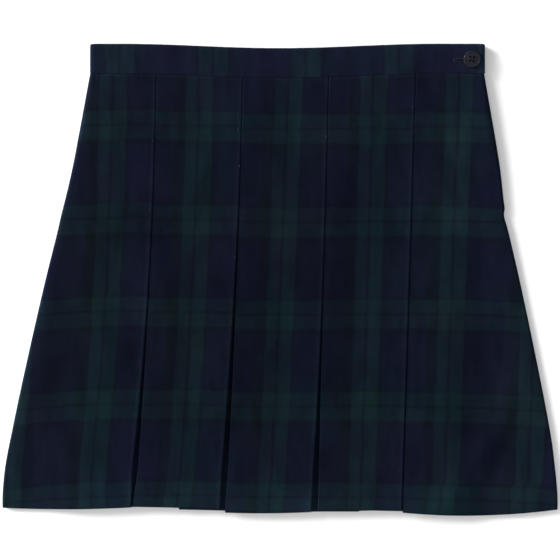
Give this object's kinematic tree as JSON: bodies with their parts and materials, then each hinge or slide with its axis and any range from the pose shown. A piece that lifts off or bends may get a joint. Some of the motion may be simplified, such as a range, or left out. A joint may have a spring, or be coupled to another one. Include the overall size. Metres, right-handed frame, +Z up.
{
  "type": "box pleat skirt",
  "caption": "Navy and green tartan box pleat skirt, buttoned at the side, laid flat with its front upwards.",
  "frame": {"origin": "on the surface that the skirt lies on, under the middle of its outline", "axes": "+X to the viewer's right across the skirt, +Y from the hem up to the waist, +Z up from the surface"},
  "size_m": [0.4726, 0.401, 0.0102],
  "materials": {
    "tartan_cloth": "matte",
    "tartan_band": "matte",
    "zip_tape": "matte",
    "zip_metal": "satin",
    "button_plastic": "gloss",
    "sewing_thread": "matte"
  },
  "bodies": {
    "root": {"front_panel": "tartan_cloth", "back_panel": "tartan_cloth", "waistband": "tartan_band", "side_zip": "zip_tape", "zip_slider": "zip_metal", "button": "button_plastic", "button_thread": "sewing_thread"}
  },
  "joints": []
}
